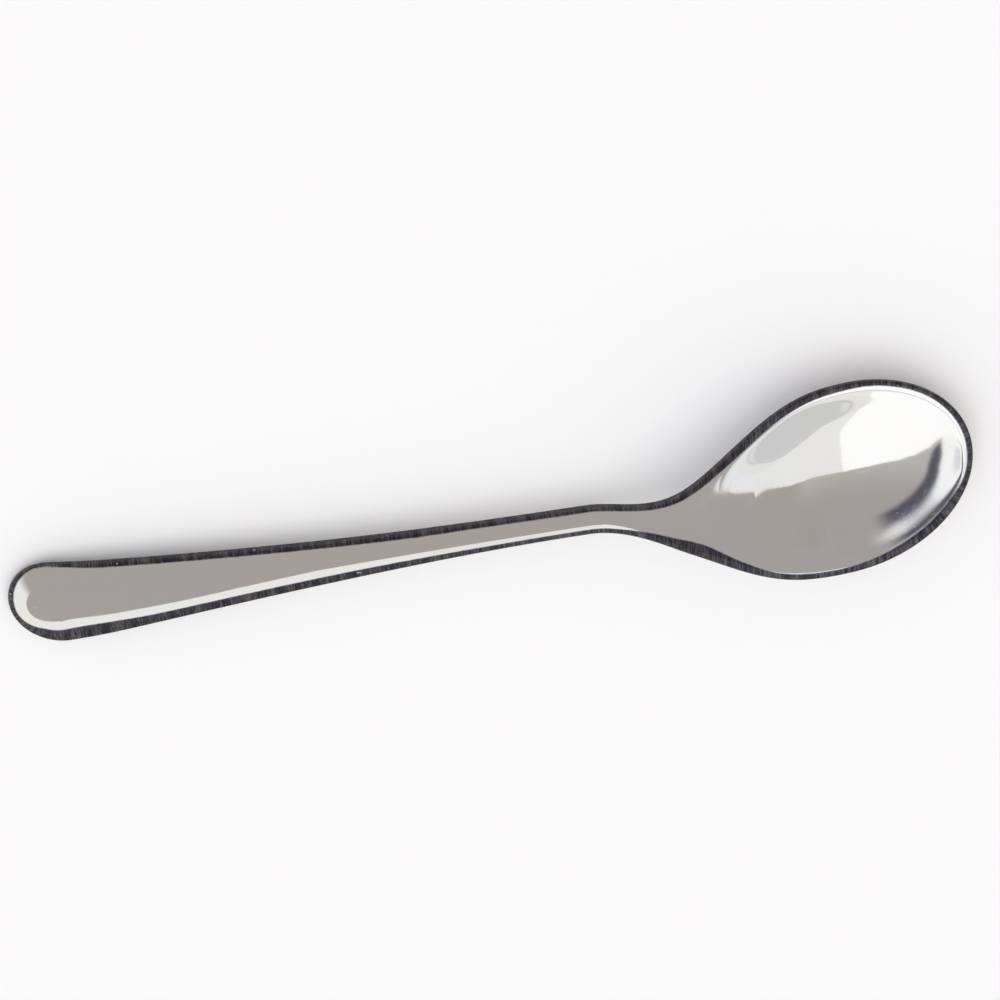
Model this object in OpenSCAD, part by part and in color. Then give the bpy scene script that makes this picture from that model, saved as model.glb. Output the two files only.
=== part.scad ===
// Dessert spoon, stamped from one stainless blank and polished.
// It lies as on a table: +X runs from the handle's end to the tip of the bowl, +Z is up, and the
// origin is on the table under the middle of the spoon. Lengths along X are counted from the handle's
// end. Handle, stem, neck and bowl are stretches of the one stamping and meet on flat cuts across X.

/* [Outline] */
// Length from the handle's end to the narrowest place of the stem
handle_l = 111; // [90:1:125]
// Length from the narrowest place to the widest place of the bowl
shoulder_l = 49.6; // [44:0.1:60]
// Length from the widest place of the bowl to its tip
nose_l = 24.4; // [20:0.1:30]
// Width of the handle where it is broadest, near its end
handle_w = 17.8; // [12:0.1:22]
// Width of the stem where it is narrowest
stem_w = 5.8; // [4.6:0.1:8]
// Width of the bowl where it is broadest, over the rim
bowl_w = 42.2; // [34:0.1:50]
// Length of the rounded end of the handle
end_l = 9.1; // [6:0.1:14]
// Squareness of the rounded end, where 2 is an ellipse
end_square = 2.05; // [1.8:0.05:3.5]
// How soon the handle tapers, where a larger number keeps it broad for longer
taper = 1.12; // [1:0.01:1.6]
// Roundness of the bowl behind its widest place
shoulder_round = 2.5; // [2:0.05:3]
// Slenderness of the throat between stem and bowl
throat_slim = 3.8; // [2.4:0.1:4.6]

/* [Side view] */
// Length of the drooping end of the handle
droop_l = 20; // [14:1:28]
// Height of the edge where the droop begins
droop_z = 4.2; // [3.5:0.1:4.8]
// Height of the edge half way along the handle
mid_z = 5.2; // [4.9:0.1:6]
// Height of the edge at the narrowest place of the stem
stem_z = 6.3; // [6.1:0.1:8]
// Length from the narrowest place to the crest of the shoulders
crest_l = 18.5; // [16:0.5:24]
// Height of the rim at the crest of the shoulders
crest_z = 12.8; // [11.5:0.1:14.5]
// Height of the rim at the tip of the bowl
tip_z = 6.2; // [5.6:0.1:8.5]

/* [Metal] */
// Thickness of the handle's edge at its end
end_t = 1.5; // [1.1:0.05:2.2]
// Thickness of the edge at the stem
stem_edge_t = 1.8; // [1.3:0.05:2.4]
// Thickness of the bowl's rim at its edge
rim_t = 1.1; // [0.8:0.05:1.6]
// Thickness of the bowl's wall at the bottom
wall_t = 1.3; // [0.9:0.05:1.8]
// Width of the bevelled border at the very end of the handle
end_border_w = 3.4; // [2.4:0.1:4.6]
// Width of the bevelled border where the rounded end goes over into the sides
side_border_w = 5.2; // [3:0.1:6]
// Width of the bevelled border along the handle
border_w = 4.2; // [2.4:0.1:4.6]
// Height of the handle's flat panel above the edge
border_h = 0.6; // [0.3:0.02:1.1]
// Crown of the panel, from its border to the middle
panel_crown = 0.08; // [0.02:0.01:0.3]
// Half width of the panel below which its crown flattens out
crown_w = 4; // [2:0.5:6]
// Height of the stem's ridge above the edge
ridge_h = 0.85; // [0.5:0.05:1.4]
// Width of the slope on each side of the stem's ridge
ridge_w = 2.8; // [1.6:0.1:3]
// Swell of the handle's underside below the edge
handle_belly = 0.35; // [0.1:0.05:0.7]
// Swell of the stem's underside below the edge
stem_belly = 1.05; // [0.5:0.05:1.6]

/* [Bowl] */
// Depth of the bowl below its rim
bowl_depth = 7; // [6:0.1:9]
// Distance from the tip back to the deepest place
deepest_l = 28; // [22:0.5:34]
// Fullness of the bowl, where 0 is a plain dish
fullness = -0.2; // [-0.3:0.02:0.3]
// Depth of the hollow at the crest of the shoulders, where it begins
throat_sink = 0.5; // [0.2:0.1:2]
// Width of the lip along the rim
lip_w = 1.7; // [1:0.05:2.2]
// Width of the lip at the crest of the shoulders
throat_lip_w = 1.3; // [0.8:0.05:1.6]
// Height of the lip's inner side above the edge
lip_h = 0.2; // [0.05:0.01:0.3]
// Depth of the worn flat on the bowl's back, where it rests
rest_flat = 0.12; // [0.06:0.01:0.2]

/* [Cuts] */
// Length of the broad part of the handle, from its end to the stem
blade_l = 62; // [50:1:75]
// Length of the neck, from the narrowest place of the stem to the bowl
neck_l = 21; // [14:0.5:26]

/* [Hidden] */
length = handle_l + shoulder_l + nose_l;
widest_x = handle_l + shoulder_l;
deepest_x = length - deepest_l;
crest_x = handle_l + crest_l;
bowl_x = handle_l + neck_l;
// The rim stands on the bowl's depth and wall, less the worn flat, and the handle's end on its underside.
rim_z = bowl_depth + wall_t - rest_flat;
end_z = end_t + handle_belly;
// Length that the polishing takes off the two round ends, which leaves a small facet there
trim = 0.15;
// Half the facets across the top and the underside, and the stretches along each piece
half_facets = 11;
handle_steps = 26;
stem_steps = 10;
neck_steps = 14;
bowl_steps = 38;
// Small step along X for slopes of the outline
slope_step = 0.01;
steel = [0.74, 0.73, 0.71];

// Heights of the outer edge, as stations along X
edge_stations = [
    [0, end_z],
    [droop_l, droop_z],
    [handle_l / 2, mid_z],
    [handle_l, stem_z],
    [crest_x, crest_z],
    [deepest_x, rim_z],
    [length, tip_z]
];
// Thickness of the edge, width and height of the border and of the lip, and swell of the underside
thick_stations = [[0, end_t], [handle_l, stem_edge_t], [deepest_x, rim_t], [length, rim_t]];
border_stations = [
    [0, end_border_w],
    [end_l, side_border_w],
    [handle_l / 3, border_w],
    [blade_l, border_w],
    [handle_l, ridge_w],
    [crest_x, throat_lip_w],
    [deepest_x, lip_w],
    [length, lip_w]
];
lip_stations = [[crest_x, throat_lip_w], [deepest_x, lip_w], [length, lip_w]];
height_stations = [
    [0, border_h],
    [blade_l, border_h],
    [handle_l, ridge_h],
    [crest_x, lip_h],
    [length, lip_h]
];
belly_stations = [
    [0, handle_belly],
    [blade_l, handle_belly],
    [handle_l, stem_belly],
    [deepest_x, 0],
    [length, 0]
];
// How far the middle has sunk below the border, from the stem to the deepest place of the bowl
sink_stations = [
    [blade_l, 0],
    [handle_l, 0],
    [crest_x, throat_sink],
    [deepest_x, bowl_depth],
    [length, 0]
];

function clamp01(t) = max(0, min(1, t));
function last(list) = list[len(list) - 1];

// Index of the stretch between stations that holds x
function stretch(stations, x) =
    let (inside = [for (i = [0:len(stations) - 2]) if (x >= stations[i][0]) i])
    len(inside) == 0 ? 0 : last(inside);

// Slope at station i, from the harmonic mean of its two stretches, so that the curve never overshoots
function station_slope(s, i) =
    let (n = len(s) - 1)
    let (before = i == 0 ? undef : (s[i][1] - s[i - 1][1]) / (s[i][0] - s[i - 1][0]))
    let (after = i == n ? undef : (s[i + 1][1] - s[i][1]) / (s[i + 1][0] - s[i][0]))
    i == 0 ? after : i == n ? before : before * after <= 0 ? 0 : 2 * before * after / (before + after);

// Smooth curve through the stations
function along(s, x) =
    let (i = stretch(s, x), span = s[i + 1][0] - s[i][0])
    let (t = clamp01((x - s[i][0]) / span))
    let (rise_a = station_slope(s, i) * span, rise_b = station_slope(s, i + 1) * span)
    let (t2 = t * t, t3 = t2 * t)
    (2 * t3 - 3 * t2 + 1) * s[i][1] + (t3 - 2 * t2 + t) * rise_a
        + (3 * t2 - 2 * t3) * s[i + 1][1] + (t3 - t2) * rise_b;

// Half width of the rounded end, the tapering handle, the shoulders and the nose of the bowl
function end_half(x) =
    handle_w / 2 * pow(1 - pow((end_l - x) / (end_l + trim), end_square), 1 / end_square);
function handle_half(x) =
    let (u = (x - end_l) / (handle_l - end_l))
    stem_w / 2 + (handle_w - stem_w) / 2 * pow(1 - pow(u, taper), 2);
function shoulder_half(x) =
    let (u = (x - handle_l) / shoulder_l)
    stem_w / 2 + (bowl_w - stem_w) / 2 * pow(1 - pow(1 - u, shoulder_round), throat_slim);
function nose_half(x) = bowl_w / 2 * sqrt(1 - pow((x - widest_x) / (nose_l + trim), 2));
function half_width(x) =
    x < end_l ? end_half(x) : x < handle_l ? handle_half(x) : x < widest_x ? shoulder_half(x) : nose_half(x);

// Length across X for each unit of distance square to the outline
function skew(x) =
    let (a = x - slope_step, b = x + slope_step)
    norm([1, (half_width(b) - half_width(a)) / (b - a)]);

// Distance from the outline: along a ray from the middle of a rounded end, else square to the side
function ray_distance(run, y, run_l, half, square) =
    let (reach = pow(pow(run / run_l, square) + pow(abs(y) / half, square), 1 / square))
    reach == 0 ? half : max(0, 1 / reach - 1) * norm([run, y]);
function edge_distance(x, y) =
    x < end_l ? ray_distance(end_l - x, y, end_l + trim, handle_w / 2, end_square)
        : x > widest_x ? ray_distance(x - widest_x, y, nose_l + trim, bowl_w / 2, 2)
        : (half_width(x) - abs(y)) / skew(x);

// Half width inside a border of the given width
function half_inside(x, border) =
    x < widest_x ? half_width(x) - border * skew(x)
        : (bowl_w / 2 - border) * sqrt(max(0, 1 - pow((x - widest_x) / (nose_l - border), 2)));

// How far the bowl has sunk along its keel: 1 at the deepest place, 0 at the stem and inside the lip
function keel(x, inset) =
    x < deepest_x
        ? along(sink_stations, x) / bowl_depth
        : 1 - pow(clamp01((x - deepest_x) / (deepest_l - inset)), 2);
function dish(x, y, half, inset) =
    let (across = half > 0 ? 1 - pow(clamp01(abs(y) / half), 2) : 0)
    keel(x, inset) * across * (1 + fullness * (1 - across));

// Heights of the top and of the underside at a place on the spoon
function top_z(x, y) =
    let (border = min(along(border_stations, x), half_width(x)))
    let (inner = half_inside(x, border), hollow = half_inside(x, along(lip_stations, x)))
    let (rise = clamp01(edge_distance(x, y) / border))
    let (full_crown = panel_crown * pow(clamp01(inner / crown_w), 2))
    let (crown = inner > 0 ? full_crown * (1 - pow(clamp01(abs(y) / inner), 2)) : 0)
    along(edge_stations, x) + along(height_stations, x) * rise + crown
        - bowl_depth * dish(x, y, hollow, lip_w);
function under_z(x, y) =
    let (half = half_width(x), edge = along(edge_stations, x) - along(thick_stations, x))
    let (sink = bowl_depth + wall_t - rim_t)
    edge - along(belly_stations, x) * (1 - pow(y / half, 2)) - sink * dish(x, y, half, 0);

// One cross-section: the top from the right edge to the left, then the underside back
function section(x) =
    let (half = half_width(x))
    let (ys = [for (i = [-half_facets:half_facets]) half * sin(90 * i / half_facets)])
    concat(
        [for (y = ys) [x - length / 2, y, top_z(x, y)]],
        [for (y = ys) [x - length / 2, -y, under_z(x, y)]]
    );

// Closed solid through the cross-sections at the places in xs
module stretch_of_steel(xs) {
    rings = [for (x = xs) section(x)];
    around = len(rings[0]);
    last_ring = len(xs) - 1;
    sides = [for (k = [0:last_ring - 1], i = [0:around - 1])
        let (a = k * around + i, b = k * around + (i + 1) % around)
        each [[a, b, b + around], [a, b + around, a + around]]];
    // A cut face is a row of upright strips, each from the top down to the underside below it.
    strips = [for (i = [0:around / 2 - 2])
        let (a = i, b = i + 1, under_a = around - 1 - i, under_b = around - 2 - i)
        each [[a, b, under_b], [a, under_b, under_a]]];
    first_cut = [for (f = strips) [f[2], f[1], f[0]]];
    last_cut = [for (f = strips) [for (i = f) last_ring * around + i]];
    polyhedron(points = [for (ring = rings) each ring], faces = concat(sides, first_cut, last_cut));
}

// Places from a to b, evenly spaced or drawn together towards one end
function even(a, b, n) = [for (i = [0:n]) a + (b - a) * i / n];
function closer_at_start(a, b, n) = [for (i = [0:n]) a + (b - a) * (1 - cos(90 * i / n))];
function closer_at_end(a, b, n) = [for (i = [0:n]) a + (b - a) * sin(90 * i / n)];

module handle() {
    color(steel) stretch_of_steel(closer_at_start(0, blade_l, handle_steps));
}

module stem() {
    color(steel) stretch_of_steel(even(blade_l, handle_l, stem_steps));
}

module neck() {
    color(steel) stretch_of_steel(even(handle_l, bowl_x, neck_steps));
}

// The bowl rests on a small worn flat, level with the table.
module bowl() {
    color(steel) difference() {
        stretch_of_steel(closer_at_end(bowl_x, length, bowl_steps));
        translate([0, -bowl_w / 2, -bowl_depth]) cube([length, bowl_w, bowl_depth]);
    }
}

handle();
stem();
neck();
bowl();
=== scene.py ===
"""Dessert spoon in polished stainless steel, lying on a pale table under soft studio light."""
import math

import bpy
import numpy as np
from mathutils import Matrix, Vector


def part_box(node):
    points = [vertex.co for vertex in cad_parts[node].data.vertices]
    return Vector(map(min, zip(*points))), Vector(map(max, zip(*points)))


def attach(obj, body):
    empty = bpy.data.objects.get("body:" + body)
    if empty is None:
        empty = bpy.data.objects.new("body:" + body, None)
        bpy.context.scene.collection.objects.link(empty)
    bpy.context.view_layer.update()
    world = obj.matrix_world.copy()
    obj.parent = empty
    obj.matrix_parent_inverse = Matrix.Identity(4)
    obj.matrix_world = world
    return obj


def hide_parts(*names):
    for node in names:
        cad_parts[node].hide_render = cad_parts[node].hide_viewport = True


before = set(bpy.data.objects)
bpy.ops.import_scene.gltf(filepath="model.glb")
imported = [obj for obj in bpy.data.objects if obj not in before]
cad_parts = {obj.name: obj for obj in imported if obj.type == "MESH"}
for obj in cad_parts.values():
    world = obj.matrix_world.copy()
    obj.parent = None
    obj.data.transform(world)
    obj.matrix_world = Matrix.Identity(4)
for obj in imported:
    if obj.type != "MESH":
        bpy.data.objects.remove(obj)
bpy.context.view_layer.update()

MM = 0.001
PIECES = ("handle", "stem", "neck", "bowl")

# Sizes of the spoon in millimetres, counted along X from the handle's end as in the solids.
# The bowl's width and the crest's height are a hair smaller, so that the mesh stays inside them.
handle_l, shoulder_l, nose_l = 111.0, 49.6, 24.4
handle_w, stem_w, bowl_w = 17.8, 5.8, 42.19
end_l, end_square, taper = 9.1, 2.05, 1.12
shoulder_round, throat_slim = 2.5, 3.8
droop_l, droop_z, mid_z, stem_z = 20.0, 4.2, 5.2, 6.3
crest_l, crest_z, tip_z, throat_sink = 18.5, 12.77, 6.2, 0.5
end_t, stem_edge_t, rim_t, wall_t = 1.5, 1.8, 1.1, 1.3
end_border_w, side_border_w, border_w = 3.4, 5.2, 4.2
border_h, panel_crown, crown_w = 0.6, 0.08, 4.0
ridge_w, ridge_h = 2.8, 0.85
handle_belly, stem_belly = 0.35, 1.05
bowl_depth, deepest_l, fullness = 7.0, 28.0, -0.2
lip_w, throat_lip_w, lip_h, rest_flat = 1.7, 1.3, 0.2, 0.12
blade_l = 62.0

length = handle_l + shoulder_l + nose_l
widest_x = handle_l + shoulder_l
deepest_x = length - deepest_l
crest_x = handle_l + crest_l
rim_z = bowl_depth + wall_t - rest_flat
end_z = end_t + handle_belly

# Rounding that polishing leaves: at the edges, along the border's crease, inside the lip and round the flat
edge_round = 0.42
crease_round = 0.3
lip_round = 0.05
flat_round = 0.05
# Largest shares: of the room for a border and its crease, and of the thickness for an edge's rounding
most_border, most_crease, most_edge = 0.9, 0.06, 0.3
# Where the rays from the two round ends meet the middle line: a place on the handle and a share of the nose
end_spine = 6.4
nose_spine = 0.6
# Rows round the handle's end, between the cuts and round the nose, and columns from the middle to the edge
end_rows, stretch_rows, nose_rows = 41, (56, 40, 44, 60), 61
middle_columns, bend_columns, wall_columns = 23, 7, 3
middle_spread = 1.1
tiny = 1e-6

EDGE_HEIGHTS = (
    (0, end_z), (droop_l, droop_z), (handle_l / 2, mid_z), (handle_l, stem_z),
    (crest_x, crest_z), (deepest_x, rim_z), (length, tip_z),
)
EDGE_THICKNESS = ((0, end_t), (handle_l, stem_edge_t), (deepest_x, rim_t), (length, rim_t))
LIP_WIDTHS = ((crest_x, throat_lip_w), (deepest_x, lip_w), (length, lip_w))
BORDER_WIDTHS = (
    (0, end_border_w), (end_l, side_border_w), (handle_l / 3, border_w), (blade_l, border_w),
    (handle_l, ridge_w), *LIP_WIDTHS,
)
BORDER_HEIGHTS = (
    (0, border_h), (blade_l, border_h), (handle_l, ridge_h), (crest_x, lip_h), (length, lip_h),
)
BELLIES = (
    (0, handle_belly), (blade_l, handle_belly), (handle_l, stem_belly), (deepest_x, 0), (length, 0),
)
SINKS = (
    (blade_l, 0), (handle_l, 0), (crest_x, throat_sink), (deepest_x, bowl_depth), (length, 0),
)
# Width of the painted dark reflection along the edge on top, along the sides of +Y and of -Y, and all round
# below; it is painted shade for the dark surroundings mirrored in the edge
PAINTED_REFLECTION_LEFT = (
    (0, 1.2), (8, 0.3), (20, 0.9), (75, 0.9), (95, 0.6), (118, 0.6), (134, 1.25), (142, 1.5),
    (157, 1.2), (167, 0.9), (174, 0.9), (length, 1.3),
)
PAINTED_REFLECTION_RIGHT = (
    (0, 1.2), (2, 2.0), (5, 2.9), (13, 3.2), (28, 2.4), (62, 2.1), (100, 1.6), (115, 1.6), (124, 2.3),
    (131, 2.9), (138, 2.1), (147, 1.6), (157, 1.7), (166, 2.1), (174, 2.4), (181, 2.3), (length, 1.3),
)
painted_reflection_under_w = 0.45


def along(stations, x):
    """Smooth curve through the stations, which never overshoots them."""
    sx, sy = np.array(stations, float).T
    rise = np.diff(sy) / np.diff(sx)
    before, after = rise[:-1], rise[1:]
    same_way = before * after > 0
    middle = np.where(same_way, 2 * before * after / np.where(same_way, before + after, 1), 0)
    slope = np.concatenate([rise[:1], middle, rise[-1:]])
    i = np.clip(np.searchsorted(sx, x, side="right") - 1, 0, len(sx) - 2)
    span = sx[i + 1] - sx[i]
    t = np.clip((x - sx[i]) / span, 0, 1)
    t2, t3 = t * t, t * t * t
    start = (2 * t3 - 3 * t2 + 1) * sy[i] + (t3 - 2 * t2 + t) * slope[i] * span
    return start + (3 * t2 - 2 * t3) * sy[i + 1] + (t3 - t2) * slope[i + 1] * span


def half_width(x):
    """Half width of the spoon: rounded end, tapering handle, shoulders and nose of the bowl."""
    run = np.clip((end_l - x) / end_l, 0, 1)
    end = handle_w / 2 * (1 - run ** end_square) ** (1 / end_square)
    u = np.clip((x - end_l) / (handle_l - end_l), 0, 1)
    handle = stem_w / 2 + (handle_w - stem_w) / 2 * (1 - u ** taper) ** 2
    u = np.clip((x - handle_l) / shoulder_l, 0, 1)
    shoulder = stem_w / 2 + (bowl_w - stem_w) / 2 * (1 - (1 - u) ** shoulder_round) ** throat_slim
    nose = bowl_w / 2 * np.sqrt(np.clip(1 - ((x - widest_x) / nose_l) ** 2, 0, 1))
    return np.select([x < end_l, x < handle_l, x < widest_x], [end, handle, shoulder], nose)


def dish(x, y, half, inset, rounding):
    """How far the bowl has sunk, from 0 at the rim to 1 at its deepest place."""
    behind = along(SINKS, x) / bowl_depth
    ahead = 1 - np.clip((x - deepest_x) / (deepest_l - inset), 0, 1) ** 2
    across = 1 - np.clip(np.abs(y) / np.maximum(half, tiny), 0, 1) ** 2
    across = np.where(half > 0, across, 0)
    across = across * across * (1 + rounding) / (across + rounding)
    return np.where(x < deepest_x, behind, ahead) * across * (1 + fullness * (1 - across))


def eased(distance, border, rounding):
    """Distance from the edge, up to the border's width, with the crease there rounded off."""
    into = np.clip(distance - (border - rounding), 0, 2 * rounding)
    return np.minimum(distance, border + rounding) - into ** 2 / (4 * rounding)


def top_z(x, y, distance, border, rounding, inner, hollow):
    """Height of the top: its edge, the bevelled border, the panel's crown and the hollow of the bowl."""
    crown = panel_crown * (1 - np.clip(np.abs(y) / np.maximum(inner, tiny), 0, 1) ** 2)
    crown = crown * np.clip(inner / crown_w, 0, 1) ** 2
    rise = along(BORDER_HEIGHTS, x) * eased(distance, border, rounding) / border
    sunk = bowl_depth * dish(x, y, hollow, lip_w, lip_round)
    return along(EDGE_HEIGHTS, x) + rise + crown - sunk


def under_z(x, y):
    """Height of the underside, worn flat where the bowl rests on the table."""
    half = np.maximum(half_width(x), tiny)
    edge = along(EDGE_HEIGHTS, x) - along(EDGE_THICKNESS, x)
    swell = along(BELLIES, x) * (1 - np.clip(np.abs(y) / half, 0, 1) ** 2)
    z = edge - swell - (bowl_depth + wall_t - rim_t) * dish(x, y, half, 0, tiny)
    return (z + np.sqrt(z * z + flat_round ** 2)) / 2


def rows_along():
    """Places along the outline, closer together where it bends, with one at every cut."""
    end_turn = np.linspace(0, math.pi / 2, end_rows)
    cuts = [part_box(piece)[1].x / MM + length / 2 for piece in PIECES[:-1]]
    stops = [end_l, *cuts, widest_x]
    spans = [np.linspace(a, b, n + 1)[1:] for a, b, n in zip(stops, stops[1:], stretch_rows)]
    nose_turn = np.linspace(0, math.pi / 2, nose_rows)[1:]
    xs = np.concatenate([end_l * (1 - np.cos(end_turn)), *spans, widest_x + nose_l * np.sin(nose_turn)])
    ends = [0] + [int(np.argmin(np.abs(xs - cut))) for cut in cuts] + [len(xs) - 1]
    return xs, ends


def spoon_rings():
    """Points of the spoon's left half: rows along it, and columns from its edge to the middle."""
    xs, ends = rows_along()
    half = half_width(xs)
    half[0] = half[-1] = 0
    spine = np.where(xs < end_l, end_spine + (end_l - end_spine) * xs / end_l, xs)
    spine = np.where(xs > widest_x, widest_x + (xs - widest_x) * nose_spine, spine)
    ray = np.stack([spine - xs, -half], 1)
    reach = np.linalg.norm(ray, axis=1)
    ray /= reach[:, None]

    # How much longer a ray is than the distance square to the outline
    tangent = np.stack([np.gradient(xs), np.gradient(half)], 1)
    tangent[0] = tangent[-1] = (0, 1)
    tangent /= np.linalg.norm(tangent, axis=1)[:, None]
    square = np.abs(ray[:, 0] * tangent[:, 1] - ray[:, 1] * tangent[:, 0])
    room = reach * square

    border = np.minimum(along(BORDER_WIDTHS, xs), most_border * room)
    crease = np.minimum(crease_round, most_crease * room)
    fillet = np.minimum(edge_round, most_edge * along(EDGE_THICKNESS, xs))
    turn = np.linspace(0, math.pi / 2, bend_columns)
    steps = np.linspace(0, 1, bend_columns)[1:]
    rounded = fillet[:, None] * (1 - np.cos(turn))
    bevel = fillet[:, None] + (border - crease - fillet)[:, None] * steps
    bend = (border - crease)[:, None] + 2 * crease[:, None] * steps
    middle = np.linspace(0, 1, middle_columns)[1:] ** middle_spread
    inside = (border + crease)[:, None] + (room - border - crease)[:, None] * middle
    distance = np.concatenate([rounded, bevel, bend, inside], 1)
    drop = fillet[:, None] * np.concatenate([1 - np.sin(turn), np.zeros(distance.shape[1] - len(turn))])

    run = distance / square[:, None]
    x = xs[:, None] + ray[:, :1] * run
    y = np.maximum(half[:, None] + ray[:, 1:] * run, 0)
    y[:, -1] = 0
    nose = (bowl_w / 2 - lip_w) * np.sqrt(np.clip(1 - ((x - widest_x) / (nose_l - lip_w)) ** 2, 0, 1))
    inner = np.where(xs < end_l, handle_w / 2, half - border / square)[:, None]
    inner = np.where(x > widest_x, nose, inner)
    hollow = np.where(x > widest_x, nose, (half - along(LIP_WIDTHS, xs) / square)[:, None])
    top = top_z(x, y, distance, border[:, None], crease[:, None], inner, hollow) - drop
    under = under_z(x, y) + drop
    outline = np.cumsum(np.hypot(np.gradient(xs), np.gradient(half)))
    # Widths of the painted dark reflection along the edge, on the +Y and the -Y side
    painted_reflection = along(PAINTED_REFLECTION_LEFT, xs), along(PAINTED_REFLECTION_RIGHT, xs)
    return x - length / 2, y, top, under, distance, ends, outline, painted_reflection


def spoon_mesh():
    """Vertices and faces of the whole spoon, and what the finish needs to know of every vertex."""
    x, y, top, under, distance, ends, outline, painted_reflection = spoon_rings()
    wall = wall_columns
    share = np.linspace(0, 1, wall + 2)[1:-1]
    edge_z = top[:, :1] + (under[:, :1] - top[:, :1]) * share
    last = x.shape[1] - 1
    flip = np.arange(last, -1, -1)
    columns_x = np.concatenate([x[:, flip], np.repeat(x[:, :1], wall, 1), x], 1)
    columns_y = np.concatenate([y[:, flip], np.repeat(y[:, :1], wall, 1), y], 1)
    columns_z = np.concatenate([top[:, flip], edge_z, under], 1)
    from_edge = np.concatenate([distance[:, flip], np.zeros((len(x), wall)), distance], 1)
    upward = np.concatenate([np.ones(last + 1), np.linspace(1, -1, wall + 2)[1:-1], -np.ones(last + 1)])
    upward = np.broadcast_to(upward, columns_x.shape)
    rows, columns = columns_x.shape

    left = np.arange(rows * columns).reshape(rows, columns)
    right = left + rows * columns
    for shared in (np.s_[0, :], np.s_[-1, :], np.s_[:, 0], np.s_[:, -1]):
        right[shared] = left[shared]
    points = np.concatenate([
        np.stack([columns_x, columns_y, columns_z], -1).reshape(-1, 3),
        np.stack([columns_x, -columns_y, columns_z], -1).reshape(-1, 3),
    ]) * MM
    round_outline = np.broadcast_to(outline[:, None], columns_x.shape)
    facts = {
        "from_edge": np.tile(from_edge.ravel(), 2),
        "upward": np.tile(upward.ravel(), 2),
        "round_outline": np.concatenate([round_outline.ravel(), -round_outline.ravel()]),
        # How wide the painted dark reflection along the edge is at each vertex
        "painted_reflection_w": np.concatenate([np.repeat(width, columns) for width in painted_reflection]),
    }
    faces = []
    for side, grid in (("left", left), ("right", right)):
        a, b = grid[:-1, :-1], grid[1:, :-1]
        c, d = grid[1:, 1:], grid[:-1, 1:]
        quads = np.stack([a, b, c, d] if side == "left" else [a, d, c, b], -1)
        faces.append(quads)
    return points, facts, faces, (left, right), ends, last + 1, wall


def vertex_normals(points, quads):
    """Smooth normals over the whole spoon, so that no cut shows in its reflections."""
    corners = points[quads]
    across = np.cross(corners[:, 2] - corners[:, 0], corners[:, 3] - corners[:, 1])
    normals = np.zeros_like(points)
    for corner in range(4):
        np.add.at(normals, quads[:, corner], across)
    return normals / np.maximum(np.linalg.norm(normals, axis=1), 1e-30)[:, None]


def cut_faces(grids, row, top_count, wall, faces_tip):
    """Closes a cut with upright strips between the top and the underside."""
    found = []
    for side, grid in zip(("left", "right"), grids):
        ring = grid[row]
        upper, lower = ring[:top_count], ring[top_count + wall:][::-1]
        strips = [[upper[i], upper[i + 1], lower[i + 1], lower[i]] for i in range(top_count - 2)]
        strips.append([upper[-2], *ring[top_count - 1:top_count + wall + 1], lower[-2]])
        forward = (side == "left") == faces_tip
        found += [strip if forward else strip[::-1] for strip in strips]
    return found


def make_pieces():
    """The four pieces: closed meshes, with the smooth normals of the whole spoon."""
    points, facts, faces, grids, ends, top_count, wall = spoon_mesh()
    everything = np.concatenate([f.reshape(-1, 4) for f in faces])
    normals = vertex_normals(points, everything)
    pieces = {}
    for name, first, final in zip(PIECES, ends, ends[1:]):
        sides = np.concatenate([f[first:final].reshape(-1, 4) for f in faces])
        caps = []
        if first > 0:
            caps += cut_faces(grids, first, top_count, wall, False)
        if final < len(grids[0]) - 1:
            caps += cut_faces(grids, final, top_count, wall, True)
        used = np.unique(sides)
        renumber = np.full(len(points), -1)
        renumber[used] = np.arange(len(used))
        polygons = [[int(renumber[v]) for v in face] for face in [*sides.tolist(), *caps]]
        mesh = bpy.data.meshes.new(name + "_polished")
        mesh.from_pydata(points[used].tolist(), [], polygons)
        mesh.validate(clean_customdata=False)
        for fact, values in facts.items():
            layer = mesh.attributes.new(fact, "FLOAT", "POINT")
            layer.data.foreach_set("value", values[used].astype(np.float32))
        mesh.polygons.foreach_set("use_smooth", [i < len(sides) for i in range(len(mesh.polygons))])
        corner_normals = []
        for polygon in mesh.polygons:
            flat = polygon.index >= len(sides)
            for v in polygon.vertices:
                corner_normals.append(polygon.normal if flat else normals[used[v]])
        mesh.normals_split_custom_set(corner_normals)
        piece = bpy.data.objects.new(name + "_polished", mesh)
        bpy.context.scene.collection.objects.link(piece)
        pieces[name] = piece
    return pieces


class Socket:
    """An output of a node. Sums and products of sockets and numbers add their Math nodes."""

    def __init__(self, finish, link):
        self.finish = finish
        self.link = link

    def maths(self, operation, *values):
        return self.finish.add("ShaderNodeMath", {"operation": operation}, dict(enumerate(values)))

    def __add__(self, other):
        return self.maths("ADD", self, other)

    def __radd__(self, other):
        return self.maths("ADD", other, self)

    def __sub__(self, other):
        return self.maths("SUBTRACT", self, other)

    def __rsub__(self, other):
        return self.maths("SUBTRACT", other, self)

    def __mul__(self, other):
        return self.maths("MULTIPLY", self, other)

    def __rmul__(self, other):
        return self.maths("MULTIPLY", other, self)

    def __truediv__(self, other):
        return self.maths("DIVIDE", self, other)

    def __pow__(self, other):
        return self.maths("POWER", self, other)

    def __abs__(self):
        return self.maths("ABSOLUTE", self)

    def step(self, low, high):
        """0 below low, 1 above high, and a smooth rise between."""
        inputs = {"Value": self, "From Min": low, "From Max": high}
        return self.finish.add("ShaderNodeMapRange", {"interpolation_type": "SMOOTHSTEP"}, inputs)

    def lesser(self, other):
        return self.maths("MINIMUM", self, other)

    def greater(self, other):
        return self.maths("MAXIMUM", self, other)


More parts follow.
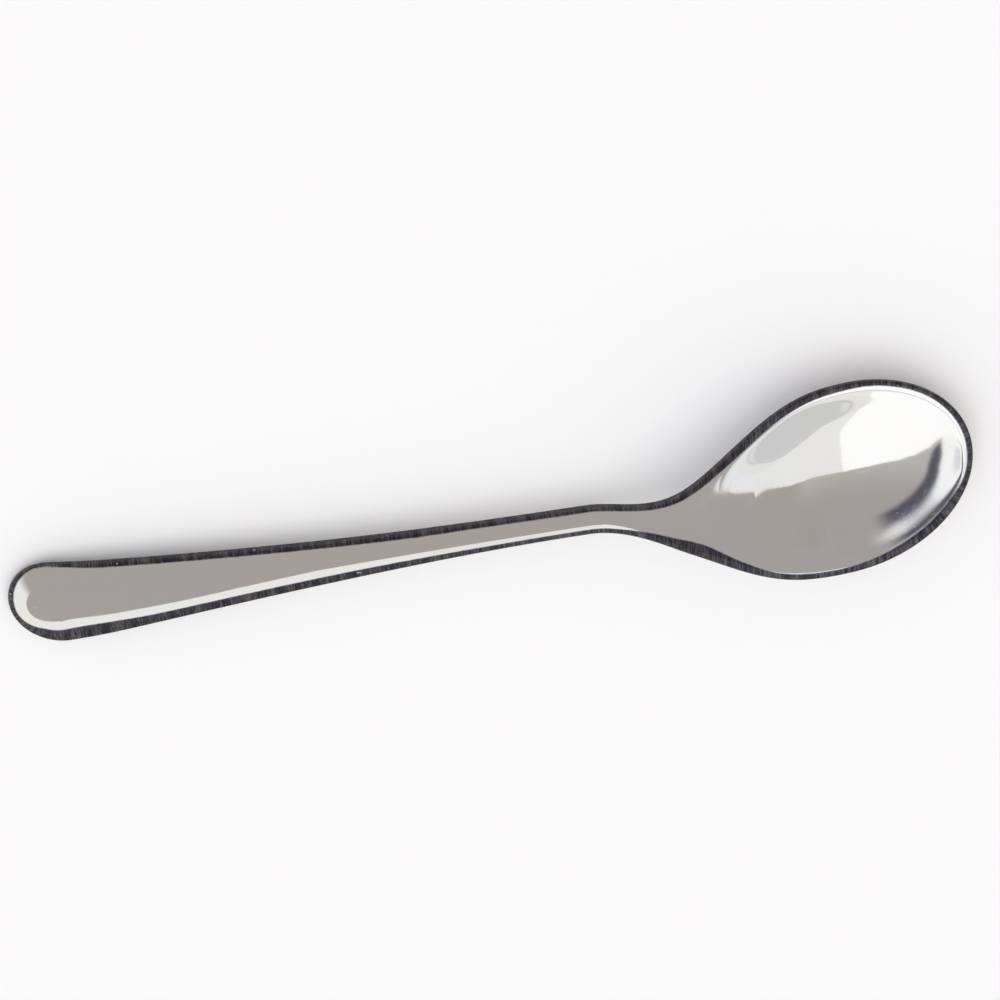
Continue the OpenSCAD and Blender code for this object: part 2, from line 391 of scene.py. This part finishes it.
class Finish:
    """A node tree that is written as expressions."""

    def __init__(self, tree):
        self.tree = tree
        tree.nodes.clear()

    def add(self, kind, settings=None, inputs=None, output=0):
        node = self.tree.nodes.new(kind)
        for name, value in (settings or {}).items():
            setattr(node, name, value)
        for name, value in (inputs or {}).items():
            if isinstance(value, Socket):
                self.tree.links.new(value.link, node.inputs[name])
            else:
                node.inputs[name].default_value = value
        return Socket(self, node.outputs[output]) if node.outputs else None

    def fact(self, name):
        """A number that the mesh holds at every vertex."""
        return self.add("ShaderNodeAttribute", {"attribute_name": name}, output="Fac")

    def noise(self, vector, scale, detail=2.0, roughness=0.5):
        inputs = {"Vector": vector, "Scale": scale, "Detail": detail, "Roughness": roughness}
        return self.add("ShaderNodeTexNoise", None, inputs)

    def stretched(self, vector, stretch, turn=(0.0, 0.0, 0.0)):
        """The same place, turned and then drawn out, for marks that run one way."""
        inputs = {"Vector": vector, "Rotation": turn, "Scale": stretch}
        return self.add("ShaderNodeMapping", {"vector_type": "TEXTURE"}, inputs)

    def mix(self, share, a, b):
        inputs = {0: share, 6: a, 7: b}
        return self.add("ShaderNodeMix", {"data_type": "RGBA"}, inputs, output=2)

    def place(self):
        return self.add("ShaderNodeTexCoord", output="Object")

    def parts(self, vector):
        """The three numbers of a vector."""
        node = self.add("ShaderNodeSeparateXYZ", None, {"Vector": vector}).link.node
        return [Socket(self, node.outputs[axis]) for axis in "XYZ"]


# Steel as it is seen: polished metal, its faint warm and cool clouds, and a painted dark reflection along
# the edge with lighter streaks and pale flecks
STEEL = (0.735, 0.722, 0.700, 1.0)
STEEL_COOL = (0.715, 0.722, 0.728, 1.0)
PAINTED_EDGE_REFLECTION = (0.030, 0.027, 0.031, 1.0)
PAINTED_EDGE_REFLECTION_COOL = (0.030, 0.033, 0.060, 1.0)
PAINTED_EDGE_REFLECTION_STREAK = (0.15, 0.143, 0.150, 1.0)
PAINTED_EDGE_REFLECTION_FLECK = (0.62, 0.61, 0.60, 1.0)


def polished_steel():
    """Mirror steel with faint clouds, smears and hairlines, and a painted dark reflection along the edge
    with grinding strokes.
    """
    waver_w, band_soft = 0.16, (-0.2, 0.12)
    mirror_rough, painted_reflection_rough = 0.045, 0.36
    relief_strength, relief_depth = 0.35, 0.02 * MM
    material = bpy.data.materials.new("polished_steel")
    material.use_nodes = True
    finish = Finish(material.node_tree)
    place = finish.place()
    from_edge = finish.fact("from_edge")
    upward = finish.fact("upward")
    outline = finish.fact("round_outline")

    # The painted dark reflection along the edge is wider above than below, wider on one side, and its inner
    # side wavers a little.
    waver = finish.noise(place, 900.0, 3.0) - 0.5
    reach = from_edge + waver * waver_w
    band_w = painted_reflection_under_w + (finish.fact("painted_reflection_w") - painted_reflection_under_w) * upward.step(-0.6, 0.6)
    band = 1 - (reach - band_w).step(*band_soft)

    # Grinding marks run square to the outline, in coarse and fine strokes, which also show as lighter
    # streaks in the painted dark reflection.
    strokes_at = {"X": outline, "Y": from_edge * 0.12, "Z": upward * 0.3}
    stroke_place = finish.add("ShaderNodeCombineXYZ", None, strokes_at)
    fine_strokes = finish.noise(stroke_place, 3.2, 3.0, 0.7)
    coarse_strokes = finish.noise(stroke_place, 0.55, 2.0)
    strokes = (fine_strokes * 0.65 + coarse_strokes * 0.35).step(0.42, 0.66)
    # Pale flecks painted into the dark reflection along the edge
    flecks_at = {"X": outline, "Y": from_edge * 1.4, "Z": upward}
    fleck_place = finish.add("ShaderNodeCombineXYZ", None, flecks_at)
    flecks = finish.noise(fleck_place, 0.42, 4.0, 0.65).step(0.69, 0.73)

    # Polishing leaves faint clouds, handling leaves hairlines in several directions.
    clouds = finish.noise(place, 38.0, 3.0)
    smears = finish.noise(finish.stretched(place, (6.0, 1.0, 1.0), (0, 0, 0.5)), 160.0, 2.0)
    hairlines = None
    for turn, scale in ((0.12, 5200.0), (1.15, 4300.0), (-0.75, 4700.0), (2.2, 3900.0)):
        drawn = finish.stretched(place, (70.0, 1.0, 1.0), (0, 0, turn))
        line = finish.noise(drawn, scale, 1.0).step(0.735, 0.79)
        hairlines = line if hairlines is None else hairlines.greater(line)
    grain = finish.noise(finish.stretched(place, (25.0, 1.0, 1.0)), 5200.0, 2.0)

    steel = finish.mix(clouds.step(0.3, 0.7), STEEL, STEEL_COOL)
    # Colour of the painted dark reflection along the edge: cooler towards its inner side, with lighter
    # streaks and pale flecks
    painted_reflection = finish.mix((reach / band_w).step(0.3, 0.9), PAINTED_EDGE_REFLECTION, PAINTED_EDGE_REFLECTION_COOL)
    painted_reflection = finish.mix(strokes, painted_reflection, PAINTED_EDGE_REFLECTION_STREAK)
    painted_reflection = finish.mix(flecks, painted_reflection, PAINTED_EDGE_REFLECTION_FLECK)
    colour = finish.mix(band, steel, painted_reflection)
    smooth = mirror_rough + clouds * 0.03 + smears.step(0.5, 0.8) * 0.03 + hairlines * 0.12
    rough = painted_reflection_rough + strokes * 0.16
    roughness = smooth * (1 - band) + rough * band
    height = hairlines * -0.25 + grain * 0.05 + band * (strokes * 1.2 + flecks * 0.6)
    relief = finish.add("ShaderNodeBump", None, {
        "Strength": relief_strength, "Distance": relief_depth, "Height": height,
    })
    shader = finish.add("ShaderNodeBsdfPrincipled", None, {
        "Base Color": colour, "Metallic": 1.0, "Roughness": roughness, "Normal": relief,
    })
    finish.add("ShaderNodeOutputMaterial", None, {"Surface": shader})
    return material


def table():
    """A plain pale table top, wide enough to fill the view from the photograph's height."""
    table_side = 8.0
    half = table_side / 2
    mesh = bpy.data.meshes.new("table")
    corners = [(-half, -half, 0), (half, -half, 0), (half, half, 0), (-half, half, 0)]
    mesh.from_pydata(corners, [], [(0, 1, 2, 3)])
    top = bpy.data.objects.new("table", mesh)
    bpy.context.scene.collection.objects.link(top)
    material = bpy.data.materials.new("pale_table")
    material.use_nodes = True
    finish = Finish(material.node_tree)
    shader = finish.add("ShaderNodeBsdfPrincipled", None, {
        "Base Color": (0.94, 0.94, 0.94, 1.0), "Roughness": 0.7, "Specular IOR Level": 0.0,
    })
    finish.add("ShaderNodeOutputMaterial", None, {"Surface": shader})
    mesh.materials.append(material)


# Light of the studio: a warm grey ceiling, a white wall behind the spoon and dimmer ones round it
CEILING = (0.50, 0.47, 0.44, 1.0)
CEILING_FAR = (0.63, 0.615, 0.60, 1.0)
CEILING_NEAR = (0.47, 0.44, 0.41, 1.0)
OPEN_SIDE = (0.50, 0.465, 0.43, 1.0)
FAR_WALL = (1.04, 1.03, 0.99, 1.0)
NEAR_WALL = (0.49, 0.46, 0.44, 1.0)
END_WALL = (0.92, 0.92, 0.99, 1.0)
COVE = (1.25, 1.25, 1.25, 1.0)
RAIL = (0.11, 0.105, 0.14, 1.0)
# Cards over the spoon that only reflections show: colour, height and corners in millimetres, and any fade
WHITE_CARD = (1.34, 1.34, 1.34, 1.0)
PALE_CARD = (1.08, 1.08, 1.09, 1.0)
HANDLE_CARD = (1.10, 1.09, 1.05, 1.0)
CARDS = (
    ("white_card", WHITE_CARD, 100, (
        (90, -46), (75, -49), (60, -58), (53, -69), (46, -90), (41, -123), (38, -140), (38, -900),
        (250, -900), (146, -303), (101, -112),
    )),
    ("pale_card", PALE_CARD, 100, (
        (90, -46), (112, -51), (164, -69), (208, -92), (243, -119), (279, -151), (326, -202), (365, -244),
        (480, -385), (900, -880), (250, -900), (146, -303), (101, -112),
    )),
    ("handle_card", HANDLE_CARD, 100, (
        (-320, -420), (-20, -420), (-20, -60), (-125, -60), (-125, 10), (-320, 10),
    )),
    ("lip_card", WHITE_CARD, 27, (
        (54, 12), (60, 15), (68, 17), (76, 18), (84, 17), (93, 13), (101, 7), (108, -1), (113, -10),
        (104, -14), (100, -7), (96, -1), (89, 5), (82, 9), (76, 10), (69, 9), (61, 6), (54, 4),
    )),
    ("grey_card", CEILING, 40, (
        (-150, 25), (-150, -32), (-111, -32), (-104, -38), (40, -40), (50, -25), (62, -20), (62, 25),
    ), (HANDLE_CARD, -121, -113)),
    ("throat_card", CEILING, 25, ((36, 8), (36, -9.5), (50, -13.5), (59, -19.5), (69, -27), (69, 8))),
    ("low_throat_card", CEILING, 18, ((53, -3), (53, -8.5), (62, -15.5), (70.5, -20), (70.5, -3))),
    ("hollow_card", CEILING, 15, (
        (58, -8.5), (62, -11.9), (66.9, -14.6), (70.6, -16.2), (72.7, -16.8), (69.6, -13.2), (68, -12),
    )),
)


def studio():
    """Light from all round. Places on the ceiling are counted in ceiling heights from over the spoon."""
    lowest = 0.02
    far_wall_at, far_wall_bay, far_wall_slant = 1.7, 0.8, 0.9
    bend_left, bend_near = 0.30, -0.40
    rail_at, rail_w, wall_at, cove_at = 0.74, 0.1, 0.745, 0.765
    world = bpy.data.worlds.new("studio")
    bpy.context.scene.world = world
    world.use_nodes = True
    finish = Finish(world.node_tree)
    x, y, z = finish.parts(finish.add("ShaderNodeTexCoord", output="Generated"))
    over = z.greater(lowest)
    left, near = x / over, y / over
    bay = left.step(-0.36, -0.26) * far_wall_bay
    to_far_wall = (near + far_wall_at - bay).greater(near + left * far_wall_slant)
    # The cove follows the near wall and bends round to the end wall, with a rail inside it there.
    past_left, past_near = (bend_left - left).greater(0.0), (near - bend_near).greater(0.0)
    to_cove = (past_left ** 2 + past_near ** 2) ** 0.5 - (1 - near.step(-0.9, -0.1)) * 0.06
    at_end = 1 - left.step(-0.1, 0.1)
    cove_w = (1 - left.step(-0.1, 0.25)) * 0.05

    ceiling = finish.mix(near.step(-0.65, 0.05), CEILING_FAR, CEILING)
    ceiling = finish.mix((left * 0.35 + near * 0.5).step(0.0, 0.6), ceiling, CEILING_NEAR)
    ceiling = finish.mix(left.step(0.6, 1.6), ceiling, OPEN_SIDE)
    rail = (to_cove - rail_at + near.step(-1.5, -0.7) * rail_w).step(0.0, 0.03) * at_end
    colour = finish.mix(rail, ceiling, RAIL)
    wall = finish.mix(at_end, NEAR_WALL, END_WALL)
    colour = finish.mix((to_cove - wall_at).step(0.0, 0.02), colour, wall)
    colour = finish.mix((cove_w - abs(to_cove - cove_at)).step(0.0, 0.02), colour, COVE)
    colour = finish.mix(to_far_wall.step(-0.03, 0.03), FAR_WALL, colour)
    light = finish.add("ShaderNodeBackground", None, {"Color": colour, "Strength": 1.0})
    finish.add("ShaderNodeOutputWorld", None, {"Surface": light})


def card(name, colour, height, corners, fade=None):
    """A level card over the spoon, which only reflections show and which may fade from a colour along X."""
    mesh = bpy.data.meshes.new(name)
    mesh.from_pydata([(x * MM, y * MM, height * MM) for x, y in corners], [], [range(len(corners))])
    material = bpy.data.materials.new(name)
    material.use_nodes = True
    finish = Finish(material.node_tree)
    if fade:
        other, low, high = fade
        x = finish.parts(finish.place())[0]
        colour = finish.mix(x.step(low * MM, high * MM), other, colour)
    light = finish.add("ShaderNodeEmission", None, {"Color": colour, "Strength": 1.0})
    finish.add("ShaderNodeOutputMaterial", None, {"Surface": light})
    mesh.materials.append(material)
    sheet = bpy.data.objects.new(name, mesh)
    sheet.visible_camera = sheet.visible_diffuse = sheet.visible_shadow = False
    bpy.context.scene.collection.objects.link(sheet)


def overhead_lamp():
    """A wide soft lamp that lights the table and isn't mirrored in the steel."""
    side, height, radiance = 1.6, 1.2, 0.85
    lamp = bpy.data.lights.new("overhead", "AREA")
    lamp.shape = "SQUARE"
    lamp.size = side
    lamp.energy = radiance * math.pi * side * side
    overhead = bpy.data.objects.new("overhead", lamp)
    overhead.location = (0, 0, height)
    overhead.visible_camera = overhead.visible_glossy = False
    bpy.context.scene.collection.objects.link(overhead)


def camera():
    """The photograph's view: from the spoon's left, well above the table, turned almost upside down."""
    elevation, swing, roll = math.radians(56.326), math.radians(-1.082), math.radians(169.356)
    aim_z, distance = 7.0, 352.76
    focal_pixels, image_pixels, sensor = 1873.0, 1000.0, 36.0
    middle = Vector((-8.0, 40.9)) / image_pixels
    back = Vector((
        math.sin(swing) * math.cos(elevation), math.cos(swing) * math.cos(elevation), math.sin(elevation),
    ))
    right = Vector((0, 0, 1)).cross(back).normalized()
    up = back.cross(right)
    image_right = math.cos(roll) * right + math.sin(roll) * up
    image_up = math.cos(roll) * up - math.sin(roll) * right
    lens = bpy.data.cameras.new("camera")
    lens.sensor_width = sensor
    lens.lens = focal_pixels / image_pixels * sensor
    lens.shift_x = -middle.x
    lens.shift_y = middle.y
    lens.clip_start = 0.01
    eye = bpy.data.objects.new("camera", lens)
    turn = Matrix((image_right, image_up, back)).transposed().to_4x4()
    eye.matrix_world = Matrix.Translation((Vector((0, 0, aim_z)) + distance * back) * MM) @ turn
    bpy.context.scene.collection.objects.link(eye)
    bpy.context.scene.camera = eye


camera()
studio()
overhead_lamp()
for settings in CARDS:
    card(*settings)
table()
steel = polished_steel()
for name, piece in make_pieces().items():
    piece.data.materials.append(steel)
    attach(piece, "root")
    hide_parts(name)
bpy.context.scene.view_settings.view_transform = "Standard"
